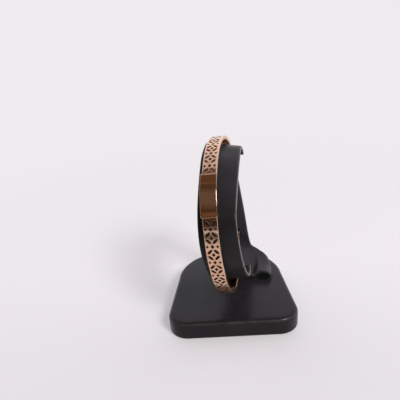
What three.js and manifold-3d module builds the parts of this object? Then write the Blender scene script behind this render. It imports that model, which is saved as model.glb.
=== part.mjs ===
// A hinged oval bangle with an openwork front, hanging on a small padded display stand.
// Millimetres, +Z up. The origin is the middle of the stand's underside, +Y points to its back.
import * as THREE from 'three';
import { mergeVertices } from 'three/addons/utils/BufferGeometryUtils.js';
import Module from 'manifold-3d';

const wasm = await Module();
wasm.setup();

const DEG = Math.PI / 180;
const GAP = 0.3;                 // clearance between two pieces that touch on the real thing

// Stand base: a padded board, straight in front and round behind
const BASE_WIDTH = 51.8;
const BASE_DEPTH = 55;
const BASE_HEIGHT = 7.5;
const BASE_BACK_WIDTH = 47;
const BASE_FRONT_RADIUS = 8;
const BASE_BACK_RADIUS = 21.5;
const BASE_EDGE_ROUND = 1.1;

// Upright: its turn about the vertical, its sideways tilt, and how far the collar leans back
const UPRIGHT_TURN = -9.7 * DEG;
const UPRIGHT_TILT = 3.9 * DEG;
const COLLAR_LEAN = 36 * DEG;
const HOOP_CENTRE = new THREE.Vector3(-0.1, -4.6, 42.8);

// Bangle hoop: worked in width (x), arc length (s) and height above its outer face
const HOOP_RADIUS = 31.2;
const HOOP_BACK_DEPTH = 21;      // the back half is flatter than the round front half
const BAND_WIDTH = 5;
const BAND_THICKNESS = 1.5;

// Openwork: flowers of four petals with a diamond between each two
const HALF_PERIOD = 3.09;        // flower centre to diamond centre
const FIRST_FLOWER = 11.15;      // arc from the plaque's middle to the first flower
const FLOWER_COUNT = 6;          // on each side of the plaque
const PETAL_LENGTH = 1.85;
const PETAL_WIDTH = 0.72;
const PETAL_SIDE = 1.14;         // petal centre from the band's middle line
const PETAL_FROM_DIAMOND = 1.15;
const DIAMOND_HALF_WIDTH = 0.48;
const DIAMOND_HALF_LENGTH = 0.56;
const DOT_SIDE = 1.76;
const DOT_HALF = 0.33;
const FLOWER_TILE_HALF = 0.93;   // half the length of the stretch that holds a flower's centre

// Plaque on the front of the band
const PLAQUE_LENGTH = 15;
const PLAQUE_WIDTH = 5.65;
const PLAQUE_FACE = 0.75;        // face above the band's outer surface
const PLAQUE_RIM_HEIGHT = 0.25;
const PLAQUE_RIM_WIDTH = 0.4;

// Hinge and clasp plates, let into the inside of the band where its halves meet
const LINK_LENGTH = 7;
const LINK_WIDTH = 2.6;
const LINK_THICKNESS = 0.5;
const LINK_POCKET_DEPTH = 0.8;

// Collar: a bowed strip of covered card, from the end of its top lip to the end of its bottom one.
// Each row gives its outer face at both edges, as distances back and up from the hoop's centre
const COLLAR_LEFT = -5.8;
const COLLAR_RIGHT = 7.7;
const COLLAR_THICKNESS = 1.7;
const COLLAR_PROFILE = [
  { leftBack: 3.2, leftUp: 26.4, rightBack: 4.0, rightUp: 25.0 },
  { leftBack: 2.0, leftUp: 29.0, rightBack: 3.0, rightUp: 26.9 },
  { leftBack: -2.4, leftUp: 29.8, rightBack: -1.2, rightUp: 27.4 },
  { leftBack: -8.2, leftUp: 28.3, rightBack: -5.4, rightUp: 25.2 },
  { leftBack: -13.4, leftUp: 24.1, rightBack: -9.4, rightUp: 20.2 },
  { leftBack: -17.7, leftUp: 18.8, rightBack: -13.4, rightUp: 14.4 },
  { leftBack: -20.4, leftUp: 12.8, rightBack: -17.0, rightUp: 8.0 },
  { leftBack: -22.9, leftUp: 5.2, rightBack: -20.8, rightUp: 1.0 },
  { leftBack: -24.5, leftUp: -3.4, rightBack: -23.4, rightUp: -5.6 },
  { leftBack: -23.8, leftUp: -10.6, rightBack: -21.8, rightUp: -10.6 },
  { leftBack: -20.6, leftUp: -16.8, rightBack: -17.2, rightUp: -15.6 },
  { leftBack: -14.4, leftUp: -21.8, rightBack: -11.2, rightUp: -20.0 },
  { leftBack: -6.4, leftUp: -24.8, rightBack: -4.2, rightUp: -23.2 },
  { leftBack: 1.6, leftUp: -26.2, rightBack: 4.2, rightUp: -24.9 },
  { leftBack: 8.0, leftUp: -25.6, rightBack: 10.4, rightUp: -24.2 },
  { leftBack: 10.8, leftUp: -23.4, rightBack: 12.6, rightUp: -22.0 },
  { leftBack: 11.4, leftUp: -20.8, rightBack: 12.8, rightUp: -19.8 },
];

// Support: one covered strip, its foot on the base and its tongue up to the inside of the collar.
// Each row gives the middle of its thickness behind and above the origin, and its two edges. Its
// foot lies at `seat`, and its right wing rises to `up`. `reach` is how much further the tongue runs
// on its left, so that its slanted end follows the collar
const SUPPORT_THICKNESS = 1.3;
const TONGUE_COURSE = new THREE.Vector3(0, -0.44, 0.898);
const TONGUE_LEVEL = 0.92;       // share of the tongue's width where its end stops slanting
const WING_START = 10;           // where the right wing lifts off the base
const WING_FLAT = 12;            // where it has its full height
const WING_MIDDLE = 14.4;        // where it starts to curl down again
const WING_DROP = 0.75;          // share of its height that its end curls down
const SLOT_CLEARANCE = 0.4;      // round the band, where it passes through the tongue
const SUPPORT_PROFILE = [
  { back: 3.4, up: 11.1, seat: 8.45, left: -8, right: 17.6, reach: 0 },
  { back: 5.4, up: 11.0, seat: 8.45, left: -9, right: 18, reach: 0 },
  { back: 8.4, up: 11.5, seat: 9.2, left: -9, right: 17.8, reach: 0 },
  { back: 11.0, up: 13.0, seat: 12.0, left: -8.6, right: 16.8, reach: 0 },
  { back: 12.6, up: 15.0, seat: 15.0, left: -7.6, right: 14.6, reach: 0 },
  { back: 13.3, up: 17.0, seat: 17.0, left: -6.2, right: 11.4, reach: 0 },
  { back: 13.3, up: 18.6, seat: 18.6, left: -5.4, right: 9, reach: 0 },
  { back: 12.8, up: 20.6, seat: 20.6, left: -5, right: 8.3, reach: 0 },
  { back: 2.3, up: 42.3, seat: 42.3, left: -5, right: 7.3, reach: 0 },
  { back: -6.75, up: 60.8, seat: 60.8, left: -5, right: 6.4, reach: 3.2 },
];

const COLOURS = {
  leatherette: new THREE.MeshStandardMaterial({ color: 0x2b292c, roughness: 0.62, metalness: 0 }),
  roseGold: new THREE.MeshStandardMaterial({ color: 0xd9a17c, roughness: 0.22, metalness: 1 }),
};

// ---- closed meshes -------------------------------------------------------------------------

/** Collects faces over shared vertices. */
class Facets {
  constructor() {
    this.positions = [];
    this.faces = [];
    this.known = new Map();
  }

  vertex(point) {
    const key = [point.x, point.y, point.z].map((v) => v.toFixed(4)).join(' ');
    if (!this.known.has(key)) {
      this.known.set(key, this.positions.length / 3);
      this.positions.push(point.x, point.y, point.z);
    }
    return this.known.get(key);
  }

  triangle(a, b, c) {
    const ids = [this.vertex(a), this.vertex(b), this.vertex(c)];
    if (new Set(ids).size === 3) this.faces.push(...ids);
  }

  quad(a, b, c, d) {
    this.triangle(a, b, c);
    this.triangle(a, c, d);
  }

  geometry() {
    const geometry = new THREE.BufferGeometry();
    geometry.setAttribute('position', new THREE.Float32BufferAttribute(this.positions, 3));
    geometry.setIndex(this.faces);
    return geometry;
  }
}

/** A sheet between two grids of points, front(i, j) and rear(i, j), closed round its edges. */
function sheetGeometry(columns, rows, front, rear) {
  const facets = new Facets();
  for (let i = 0; i < columns; i++) {
    for (let j = 0; j < rows; j++) {
      facets.quad(front(i, j), front(i + 1, j), front(i + 1, j + 1), front(i, j + 1));
      facets.quad(rear(i, j), rear(i, j + 1), rear(i + 1, j + 1), rear(i + 1, j));
    }
  }
  for (let i = 0; i < columns; i++) {
    facets.quad(rear(i, 0), rear(i + 1, 0), front(i + 1, 0), front(i, 0));
    facets.quad(rear(i + 1, rows), rear(i, rows), front(i, rows), front(i + 1, rows));
  }
  for (let j = 0; j < rows; j++) {
    facets.quad(rear(0, j + 1), rear(0, j), front(0, j), front(0, j + 1));
    facets.quad(rear(columns, j), rear(columns, j + 1), front(columns, j + 1), front(columns, j));
  }
  return facets.geometry();
}

function solidOf(geometry) {
  const bare = geometry.clone();
  bare.deleteAttribute('normal');
  bare.deleteAttribute('uv');
  const merged = mergeVertices(bare, 1e-4);
  return new wasm.Manifold(new wasm.Mesh({
    numProp: 3,
    vertProperties: new Float32Array(merged.attributes.position.array),
    triVerts: new Uint32Array(merged.index.array),
  }));
}

function geometryOf(solid) {
  const mesh = solid.getMesh();
  const geometry = new THREE.BufferGeometry();
  geometry.setAttribute('position', new THREE.BufferAttribute(mesh.vertProperties, 3));
  geometry.setIndex(new THREE.BufferAttribute(mesh.triVerts, 1));
  return geometry;
}

// ---- the hoop's curve ----------------------------------------------------------------------

const HOOP_LENGTH = 2 * Math.PI * HOOP_RADIUS;
const HALF_REACH = HOOP_LENGTH / 4;    // arc from the front's middle to where the halves meet

/** Point of the hoop at a place across its width, an arc length, and a height above its face. */
function onHoop(across, arc, height) {
  const angle = arc / HOOP_RADIUS;
  const depth = Math.cos(angle) > 0 ? HOOP_RADIUS : HOOP_BACK_DEPTH;
  return new THREE.Vector3(
    across,
    -(depth + height) * Math.cos(angle),
    (HOOP_RADIUS + height) * Math.sin(angle),
  );
}

/** Curved plate on the hoop between two arcs, with its own heights across and along. */
function hoopPlate(acrosses, arcs, faceHeight, rearHeight) {
  return sheetGeometry(
    acrosses.length - 1,
    arcs.length - 1,
    (i, j) => onHoop(acrosses[i], arcs[j], faceHeight(i, j)),
    (i, j) => onHoop(acrosses[i], arcs[j], rearHeight),
  );
}

function spread(from, to, count) {
  return Array.from({ length: count + 1 }, (_, k) => from + ((to - from) * k) / count);
}

// ---- openwork ------------------------------------------------------------------------------

/** Leaf shape: two equal arcs that meet at its tips. */
function petalHole(across, arc, turn) {
  const half = PETAL_LENGTH / 2;
  const rise = PETAL_WIDTH / 2;
  const outline = [];
  for (const side of [1, -1]) {
    for (const t of [-1, -0.55, 0, 0.55]) {
      const along = side * t * half;
      const aside = -side * rise * (1 - t * t);
      outline.push(new THREE.Vector2(
        across + along * Math.cos(turn) - aside * Math.sin(turn),
        arc + along * Math.sin(turn) + aside * Math.cos(turn),
      ));
    }
  }
  return outline;
}

/** Four-pointed hole whose sides draw in by a share of its size. */
function starHole(across, arc, halfWidth, halfLength, drawIn) {
  const outline = [];
  for (let k = 0; k < 8; k++) {
    const angle = k * 45 * DEG;
    const reach = k % 2 === 0 ? 1 : Math.SQRT1_2 * drawIn;
    outline.push(new THREE.Vector2(
      across + halfWidth * reach * Math.cos(angle),
      arc + halfLength * reach * Math.sin(angle),
    ));
  }
  return outline;
}

function petalPair(arc, lean) {
  return [-1, 1].map((side) => petalHole(side * PETAL_SIDE, arc, side * lean * 45 * DEG));
}

function flowerHoles(arc) {
  return [
    starHole(0, arc, DIAMOND_HALF_WIDTH, DIAMOND_HALF_LENGTH, 0.72),
    starHole(-DOT_SIDE, arc, DOT_HALF, DOT_HALF, 1),
    starHole(DOT_SIDE, arc, DOT_HALF, DOT_HALF, 1),
  ];
}

function diamondHoles(arc) {
  return [
    starHole(0, arc, DIAMOND_HALF_WIDTH, DIAMOND_HALF_LENGTH, 1),
    ...petalPair(arc - PETAL_FROM_DIAMOND, 1),
    ...petalPair(arc + PETAL_FROM_DIAMOND, -1),
  ];
}

/** The front half's stretches in order, each with the holes that lie wholly inside it. */
function openworkStretches() {
  const side = [];
  let arc = PLAQUE_LENGTH / 2 - GAP;
  for (let k = 0; k < FLOWER_COUNT; k++) {
    const flower = FIRST_FLOWER + 2 * HALF_PERIOD * k;
    const before = k === 0
      ? petalPair(flower - HALF_PERIOD + PETAL_FROM_DIAMOND, -1)
      : diamondHoles(flower - HALF_PERIOD);
    side.push({ from: arc, to: flower - FLOWER_TILE_HALF, holes: before });
    arc = flower + FLOWER_TILE_HALF;
    side.push({ from: flower - FLOWER_TILE_HALF, to: arc, holes: flowerHoles(flower) });
  }
  const last = arc - FLOWER_TILE_HALF + HALF_PERIOD;
  side.push({ from: arc, to: last + HALF_PERIOD - FLOWER_TILE_HALF, holes: diamondHoles(last) });
  side.push({ from: last + HALF_PERIOD - FLOWER_TILE_HALF, to: HALF_REACH - GAP / 2, holes: [] });
  const mirrored = side.map(({ from, to, holes }) => ({
    from: -to,
    to: -from,
    holes: holes.map((hole) => hole.map((p) => new THREE.Vector2(p.x, -p.y)).reverse()),
  })).reverse();
  const seat = { from: GAP - PLAQUE_LENGTH / 2, to: PLAQUE_LENGTH / 2 - GAP, holes: [] };
  return [...mirrored, seat, ...side];
}

const STRETCH_STEP = 1.7;    // longest straight facet along the band's edges

/** One stretch of the pierced band: both faces, the walls of its holes and its two edges. */
function addStretch(facets, { from, to, holes }, isFirst, isLast) {
  const half = BAND_WIDTH / 2;
  const steps = Math.max(1, Math.ceil((to - from) / STRETCH_STEP));
  const arcs = spread(from, to, steps);
  const outline = [
    ...arcs.map((arc) => new THREE.Vector2(half, arc)),
    ...arcs.map((arc) => new THREE.Vector2(-half, arc)).reverse(),
  ];
  const loops = [outline, ...holes];
  const points = loops.flat();
  const outer = points.map((p) => onHoop(p.x, p.y, 0));
  const inner = points.map((p) => onHoop(p.x, p.y, -BAND_THICKNESS));
  for (const [a, b, c] of THREE.ShapeUtils.triangulateShape(outline, holes)) {
    const turn = (points[b].x - points[a].x) * (points[c].y - points[a].y)
      - (points[c].x - points[a].x) * (points[b].y - points[a].y);
    const [p, q] = turn > 0 ? [b, c] : [c, b];
    facets.triangle(outer[a], outer[p], outer[q]);
    facets.triangle(inner[a], inner[q], inner[p]);
  }
  let start = 0;
  loops.forEach((loop, index) => {
    for (let k = 0; k < loop.length; k++) {
      const a = start + k;
      const b = start + ((k + 1) % loop.length);
      const joinsNext = index === 0 && k === steps && !isLast;
      const joinsLast = index === 0 && k === loop.length - 1 && !isFirst;
      if (!joinsNext && !joinsLast) facets.quad(inner[a], inner[b], outer[b], outer[a]);
    }
    start += loop.length;
  });
}

/** Every hole is listed clockwise, so that its walls face into it. */
function clockwise(hole) {
  return THREE.ShapeUtils.area(hole) > 0 ? [...hole].reverse() : hole;
}

function linkPocket(arc) {
  const half = LINK_WIDTH / 2 + GAP;
  const reach = LINK_LENGTH / 2 + GAP;
  const deepest = LINK_POCKET_DEPTH - BAND_THICKNESS;
  return solidOf(hoopPlate(
    [-half, half],
    spread(arc - reach, arc + reach, 4),
    () => deepest,
    -BAND_THICKNESS - 0.5,
  ));
}

const openworkFacets = new Facets();
const stretches = openworkStretches();
stretches.forEach((stretch, index) => {
  const holes = stretch.holes.map(clockwise);
  addStretch(openworkFacets, { ...stretch, holes }, index === 0, index === stretches.length - 1);
});
const clasp = linkPocket(HALF_REACH);
const hinge = linkPocket(-HALF_REACH);
const openwork = geometryOf(solidOf(openworkFacets.geometry()).subtract(clasp).subtract(hinge));

const backArcs = spread(HALF_REACH + GAP / 2, HOOP_LENGTH - HALF_REACH - GAP / 2, 40);
const backBand = geometryOf(solidOf(hoopPlate(
  [-BAND_WIDTH / 2, BAND_WIDTH / 2],
  backArcs,
  () => 0,
  -BAND_THICKNESS,
)).subtract(clasp).subtract(hinge));

/** Plain plate let into the inside of both halves. */
function linkPlate(arc) {
  return hoopPlate(
    [-LINK_WIDTH / 2, LINK_WIDTH / 2],
    spread(arc - LINK_LENGTH / 2, arc + LINK_LENGTH / 2, 4),
    () => LINK_POCKET_DEPTH - BAND_THICKNESS - GAP,
    LINK_POCKET_DEPTH - BAND_THICKNESS - GAP - LINK_THICKNESS,
  );
}

// ---- plaque --------------------------------------------------------------------------------

/** Places along one side of the plaque: edge, top of the rim, foot of the rim, then its face. */
function rimmedPlaces(size, inner) {
  const half = size / 2;
  const edge = [half, half - PLAQUE_RIM_WIDTH, half - PLAQUE_RIM_WIDTH - 0.15];
  const face = spread(-edge[2], edge[2], inner).slice(1, -1);
  return [...edge.map((v) => -v), ...face, ...edge.reverse()];
}

const plaqueAcross = rimmedPlaces(PLAQUE_WIDTH, 1);
const plaqueAlong = rimmedPlaces(PLAQUE_LENGTH, 10);
const onRim = (k, places) => k < 2 || k > places.length - 3;
const plaque = hoopPlate(
  plaqueAcross,
  plaqueAlong,
  (i, j) => (onRim(i, plaqueAcross) || onRim(j, plaqueAlong) ? PLAQUE_FACE + PLAQUE_RIM_HEIGHT : PLAQUE_FACE),
  GAP,
);

// ---- stand ---------------------------------------------------------------------------------

function baseGeometry() {
  const inset = BASE_EDGE_ROUND;
  const corners = [
    { side: 1, y: -BASE_DEPTH / 2, half: BASE_WIDTH / 2, radius: BASE_FRONT_RADIUS, start: -90 },
    { side: 1, y: BASE_DEPTH / 2, half: BASE_BACK_WIDTH / 2, radius: BASE_BACK_RADIUS, start: 0 },
    { side: -1, y: BASE_DEPTH / 2, half: BASE_BACK_WIDTH / 2, radius: BASE_BACK_RADIUS, start: 90 },
    { side: -1, y: -BASE_DEPTH / 2, half: BASE_WIDTH / 2, radius: BASE_FRONT_RADIUS, start: 180 },
  ];
  const outline = new THREE.Shape();
  for (const { side, y, half, radius, start } of corners) {
    outline.absarc(
      side * (half - radius),
      y - Math.sign(y) * radius,
      radius - inset,
      start * DEG,
      (start + 90) * DEG,
      false,
    );
  }
  const geometry = new THREE.ExtrudeGeometry(outline, {
    depth: BASE_HEIGHT - 2 * inset,
    curveSegments: 10,
    bevelThickness: inset,
    bevelSize: inset,
    bevelSegments: 3,
  });
  return geometry.translate(0, 0, inset);
}

/** Line across a strip's length: a smooth curve through the profile's rows, at one place across. */
function stripLine(profile, count, place) {
  const curve = new THREE.CatmullRomCurve3(profile.map(place), false, 'centripetal');
  return spread(0, 1, count).map((share) => curve.getPoint(share));
}

/** Copy of a line moved square to its course, seen from the side. */
function besideLine(line, distance) {
  return line.map((point, k) => {
    const before = line[Math.max(0, k - 1)];
    const after = line[Math.min(line.length - 1, k + 1)];
    const along = new THREE.Vector2(after.y - before.y, after.z - before.z).normalize();
    return new THREE.Vector3(point.x, point.y - along.y * distance, point.z + along.x * distance);
  });
}

const COLLAR_ROWS = 44;

function collarGeometry() {
  const leftEdge = (row) => new THREE.Vector3(COLLAR_LEFT, row.leftBack, row.leftUp);
  const rightEdge = (row) => new THREE.Vector3(COLLAR_RIGHT, row.rightBack, row.rightUp);
  const outer = [leftEdge, rightEdge].map((place) => (
    stripLine(COLLAR_PROFILE, COLLAR_ROWS, place).reverse()
  ));
  const inner = outer.map((line) => besideLine(line, -COLLAR_THICKNESS));
  return sheetGeometry(1, COLLAR_ROWS, (i, j) => outer[i][j], (i, j) => inner[i][j]);
}

/** How far the foot is raised at a place across it: 0 on the base, 1 in the middle of its wing. */
function wingLift(across, right) {
  if (across < WING_FLAT) return THREE.MathUtils.smoothstep(across, WING_START, WING_FLAT);
  return 1 - WING_DROP * Math.max(0, (across - WING_MIDDLE) / (right - WING_MIDDLE)) ** 3;
}

const SUPPORT_ROWS = 26;
const SUPPORT_SHARES = [0, 0.2, 0.4, 0.55, 0.66, 0.7, 0.74, 0.8, 0.88, 0.95, 1];

/** The strip before its slot is cut. */
function supportBlank() {
  const lines = SUPPORT_SHARES.map((share) => stripLine(SUPPORT_PROFILE, SUPPORT_ROWS, (row) => {
    const across = row.left + (row.right - row.left) * share;
    const lift = wingLift(across, row.right);
    const place = new THREE.Vector3(across, row.back, row.seat + (row.up - row.seat) * lift);
    return place.addScaledVector(TONGUE_COURSE, row.reach * Math.max(0, 1 - share / TONGUE_LEVEL));
  }));
  const front = lines.map((line) => besideLine(line, SUPPORT_THICKNESS / 2));
  const rear = lines.map((line) => besideLine(line, -SUPPORT_THICKNESS / 2));
  return sheetGeometry(
    SUPPORT_SHARES.length - 1,
    SUPPORT_ROWS,
    (i, j) => front[i][j],
    (i, j) => rear[i][j],
  );
}

/** Room for the lower back of the hoop, in the hoop's own frame. */
function slotGeometry() {
  const half = BAND_WIDTH / 2 + SLOT_CLEARANCE;
  return hoopPlate(
    [-half, half],
    spread(-2 * HALF_REACH, -HALF_REACH, 16),
    () => SLOT_CLEARANCE,
    -BAND_THICKNESS - SLOT_CLEARANCE,
  );
}

// ---- assembly ------------------------------------------------------------------------------

function piece(name, geometry, material) {
  const mesh = new THREE.Mesh(geometry, material);
  mesh.name = name;
  return mesh;
}

const upright = new THREE.Group();
upright.rotation.z = UPRIGHT_TURN;
upright.updateMatrix();

const leaning = new THREE.Group();
leaning.position.copy(HOOP_CENTRE);
leaning.rotation.set(-COLLAR_LEAN, -UPRIGHT_TILT, UPRIGHT_TURN, 'ZYX');
leaning.updateMatrix();

const slot = slotGeometry().applyMatrix4(upright.matrix.clone().invert().multiply(leaning.matrix));
const support = geometryOf(solidOf(supportBlank()).subtract(solidOf(slot)));
upright.add(piece('stand_support', support, COLOURS.leatherette));
leaning.add(
  piece('stand_collar', collarGeometry(), COLOURS.leatherette),
  piece('bangle_front', openwork, COLOURS.roseGold),
  piece('bangle_back', backBand, COLOURS.roseGold),
  piece('plaque', plaque, COLOURS.roseGold),
  piece('clasp_plate', linkPlate(HALF_REACH), COLOURS.roseGold),
  piece('hinge_plate', linkPlate(-HALF_REACH), COLOURS.roseGold),
);

const group = new THREE.Group();
group.add(piece('stand_base', baseGeometry(), COLOURS.leatherette), upright, leaning);

export default group;
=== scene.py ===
"""A hinged rose-gold bangle with an openwork front, on a small leatherette display stand.

Each piece of the object is a surface worked out on a grid with numpy, and stands for a CAD node, which it
hides. Lengths in the tables and the property groups are millimetres unless they say otherwise.
"""
import math

import bpy
import numpy as np
from mathutils import Euler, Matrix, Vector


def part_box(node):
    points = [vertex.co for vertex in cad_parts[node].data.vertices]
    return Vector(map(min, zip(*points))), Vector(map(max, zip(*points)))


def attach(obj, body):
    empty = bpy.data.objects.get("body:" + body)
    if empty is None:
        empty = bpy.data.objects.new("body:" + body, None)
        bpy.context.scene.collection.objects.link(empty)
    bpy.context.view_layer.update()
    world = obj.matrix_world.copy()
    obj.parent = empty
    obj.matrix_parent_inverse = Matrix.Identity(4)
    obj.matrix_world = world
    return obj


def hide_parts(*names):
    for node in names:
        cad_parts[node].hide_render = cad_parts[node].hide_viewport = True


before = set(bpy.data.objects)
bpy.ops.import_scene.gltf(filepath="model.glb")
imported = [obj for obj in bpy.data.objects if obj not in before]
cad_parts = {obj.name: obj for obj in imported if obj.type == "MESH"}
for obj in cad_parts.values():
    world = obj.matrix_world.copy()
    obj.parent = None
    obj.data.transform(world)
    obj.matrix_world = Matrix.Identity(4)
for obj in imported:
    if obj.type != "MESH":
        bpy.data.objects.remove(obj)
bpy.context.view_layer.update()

bl_info = {
    "name": "Bangle on display stand",
    "version": (1, 0, 0),
    "blender": (4, 5, 0),
    "location": "View3D > Sidebar > Bangle",
    "description": "Builds an openwork bangle, its display stand and a small studio round them",
    "category": "Add Mesh",
}

MM = 0.001
FIT_SLACK = 0.6 * MM             # how far a piece may stand out of its CAD node's box
HALVES_GAP = 0.15                # from each half of the hoop to the middle of their joint
DIAMOND_WIDTH = 0.86             # a diamond hole's width over its length

# Collar's outer face at its two edges, back and up from the hoop's centre, from lip to hook
COLLAR_ROWS = [
    {"left_back": 3.2, "left_up": 26.4, "right_back": 3.8, "right_up": 26.1},
    {"left_back": 2.0, "left_up": 29.0, "right_back": 2.9, "right_up": 27.5},
    {"left_back": -2.4, "left_up": 29.8, "right_back": -1.2, "right_up": 27.9},
    {"left_back": -8.2, "left_up": 28.3, "right_back": -5.4, "right_up": 25.5},
    {"left_back": -13.4, "left_up": 24.1, "right_back": -9.4, "right_up": 20.2},
    {"left_back": -17.7, "left_up": 18.8, "right_back": -13.4, "right_up": 14.4},
    {"left_back": -20.4, "left_up": 12.8, "right_back": -17.0, "right_up": 8.0},
    {"left_back": -22.9, "left_up": 5.2, "right_back": -20.8, "right_up": 1.0},
    {"left_back": -24.5, "left_up": -3.4, "right_back": -23.4, "right_up": -5.6},
    {"left_back": -23.8, "left_up": -10.6, "right_back": -21.8, "right_up": -10.6},
    {"left_back": -20.6, "left_up": -16.8, "right_back": -17.2, "right_up": -15.6},
    {"left_back": -14.4, "left_up": -21.8, "right_back": -11.2, "right_up": -20.0},
    {"left_back": -6.4, "left_up": -24.8, "right_back": -4.2, "right_up": -23.2},
    {"left_back": 1.6, "left_up": -26.2, "right_back": 4.2, "right_up": -24.9},
    {"left_back": 8.0, "left_up": -25.6, "right_back": 10.4, "right_up": -24.2},
    {"left_back": 10.8, "left_up": -23.4, "right_back": 12.6, "right_up": -22.0},
    {"left_back": 11.4, "left_up": -20.8, "right_back": 12.8, "right_up": -19.8},
]

# Way that the tongue runs, back and up, and the share of its width at which its end stops slanting
TONGUE_COURSE = (-0.44, 0.898)
TONGUE_LEVEL = 0.92

# Support's middle line behind and above the origin, and its two edges, from foot to tongue's end.
# The foot lies at `seat`, and its right wing rises to `up`. `reach` is how much further the tongue runs
# on its left, so that its slanted end lies nearer to the collar
SUPPORT_ROWS = [
    {"back": 3.4, "up": 11.1, "seat": 8.45, "left": -8.0, "right": 17.6, "reach": 0},
    {"back": 5.4, "up": 11.0, "seat": 8.45, "left": -9.0, "right": 18.0, "reach": 0},
    {"back": 8.4, "up": 11.5, "seat": 9.2, "left": -9.0, "right": 17.8, "reach": 0},
    {"back": 11.0, "up": 13.0, "seat": 12.0, "left": -8.6, "right": 16.8, "reach": 0},
    {"back": 12.6, "up": 15.0, "seat": 15.0, "left": -7.6, "right": 14.6, "reach": 0},
    {"back": 13.3, "up": 17.0, "seat": 17.0, "left": -6.2, "right": 11.4, "reach": 0},
    {"back": 13.3, "up": 18.6, "seat": 18.6, "left": -5.4, "right": 9.0, "reach": 0},
    {"back": 12.8, "up": 20.6, "seat": 20.6, "left": -5.0, "right": 8.3, "reach": 0},
    {"back": 2.3, "up": 42.3, "seat": 42.3, "left": -5.0, "right": 7.3, "reach": 0},
    {"back": -6.75, "up": 60.8, "seat": 60.8, "left": -5.0, "right": 6.4, "reach": 3.2},
]

# Middle of the painted shadow in the hollow under the wing, on the base, in metres
WING_SHADOW_PLACE = (0.0150, 0.0023, 0.0075)

# The dim room before the object, at growing heights, as the sine of the elevation: how light it is,
# and how warm, from 0 for grey to 1 for the room's own colour
ROOM_SHADES = [
    (0.0, 0.35, 1), (0.28, 0.4, 1), (0.36, 1.5, 1), (0.42, 1.5, 1), (0.45, 0.6, 1), (0.52, 1.1, 0.8),
    (0.62, 1.75, 0.5), (0.77, 1.75, 0.5), (0.84, 0.85, 0.9), (0.872, 0.9, 1), (0.88, 2.0, 1),
    (0.89, 1.15, 1), (0.95, 1.25, 1),
]

# The bright surround elsewhere, at the sides and overhead
WALLS = (1.2, 1.18, 1.24)
CEILING = (0.78, 0.78, 0.87)

# Floor: its radius, its level just under the base, its card, how dark its painted shade grows toward the
# front, and the dark stretch that only reflections see there
FLOOR_RADIUS = 1500
FLOOR_LEVEL = -0.02
FLOOR_CARD = (0.81, 0.785, 0.81)
FLOOR_FRONT_SHADE = 0.88
FLOOR_DARK = (0.08, 0.07, 0.06)

# Key light: its place and its disc's size in metres, its power in watts, and how high it looks
KEY_PLACE = (1.24, -1.52, 1.68)
KEY_SIZE = 0.88
KEY_POWER = 55.0
KEY_AIM = 0.035

# Camera's sensor, in mm
SENSOR_WIDTH = 36


# ---- sizes and colours -----------------------------------------------------------------------


def length(name, description, default):
    """A size in millimetres."""
    return bpy.props.FloatProperty(name=name, description=description, default=default)


def angle(name, description, degrees):
    """An angle, stated in degrees and kept in radians."""
    return bpy.props.FloatProperty(
        name=name, description=description, default=math.radians(degrees), subtype="ANGLE"
    )


def colour(name, description, default):
    """A colour, as linear shares of red, green and blue."""
    return bpy.props.FloatVectorProperty(
        name=name, description=description, default=default, subtype="COLOR", size=3, min=0, max=1
    )


class BanglePlacement(bpy.types.PropertyGroup):
    """Where the hoop and the upright stand."""

    centre: bpy.props.FloatVectorProperty(
        name="Hoop centre", description="Middle of the hoop, mm", default=(-0.1, -4.6, 42.8), size=3
    )
    turn: angle("Turn", "The upright's turn about the vertical", -9.7)
    tilt: angle("Tilt", "The hoop's sideways tilt", 3.9)
    lean: angle("Lean", "How far the hoop leans back", 36)


class BangleSizes(bpy.types.PropertyGroup):
    """The hoop, its openwork and its plaque, in millimetres."""

    radius: length("Radius", "Outer radius of the round front half", 31.2)
    back_depth: length("Back depth", "Depth of the flatter back half", 21)
    band_width: length("Band width", "Width of the band", 5)
    band_thickness: length("Band thickness", "Thickness of the band", 1.5)
    half_period: length("Half period", "Flower centre to diamond centre", 3.09)
    first_flower: length("First flower", "Plaque's middle to the first flower", 11.15)
    flower_count: bpy.props.IntProperty(
        name="Flowers", description="Flowers on each side of the plaque", default=6, min=1
    )
    petal_length: length("Petal length", "Length of a petal hole", 2.1)
    petal_width: length("Petal width", "Width of a petal hole", 0.82)
    petal_side: length("Petal side", "Petal's centre from the band's middle", 1.14)
    petal_from_diamond: length("Petal place", "Petal's centre from the diamond's", 1.15)
    diamond: length("Diamond", "Half the length of a diamond hole", 0.67)
    dot_side: length("Dot side", "Side dot's centre from the band's middle", 1.76)
    dot: length("Dot", "Half the size of a side dot", 0.43)
    plaque_length: length("Plaque length", "Length of the plaque", 15)
    plaque_width: length("Plaque width", "Width of the plaque", 5.65)
    plaque_height: length("Plaque height", "Rim's top above the band", 1)
    rim_width: length("Rim width", "Width of the plaque's rim", 0.26)
    rim_height: length("Rim height", "Rim above the plaque's face", 0.2)
    plate_length: length("Plate length", "Hinge and clasp plates", 7)
    plate_width: length("Plate width", "Hinge and clasp plates", 2.6)


class StandSizes(bpy.types.PropertyGroup):
    """The stand, in millimetres."""

    width: length("Width", "Base at its straight front", 51.8)
    back_width: length("Back width", "Base at its round back", 47)
    depth: length("Depth", "Base from front to back", 55)
    height: length("Height", "Thickness of the base", 7.5)
    front_radius: length("Front radius", "Front corners", 8)
    back_radius: length("Back radius", "Back corners", 21.5)
    edge_round: length("Edge round", "Padded edge of the base", 1.6)
    collar_left: length("Collar left", "Collar's left edge", -5.8)
    collar_right: length("Collar right", "Collar's right edge", 7.7)
    collar_thickness: length("Collar thickness", "Covered card", 1.7)
    support_thickness: length("Support thickness", "Covered card", 1.3)
    slot_clearance: length("Slot clearance", "Round the band in the tongue", 0.15)


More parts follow.
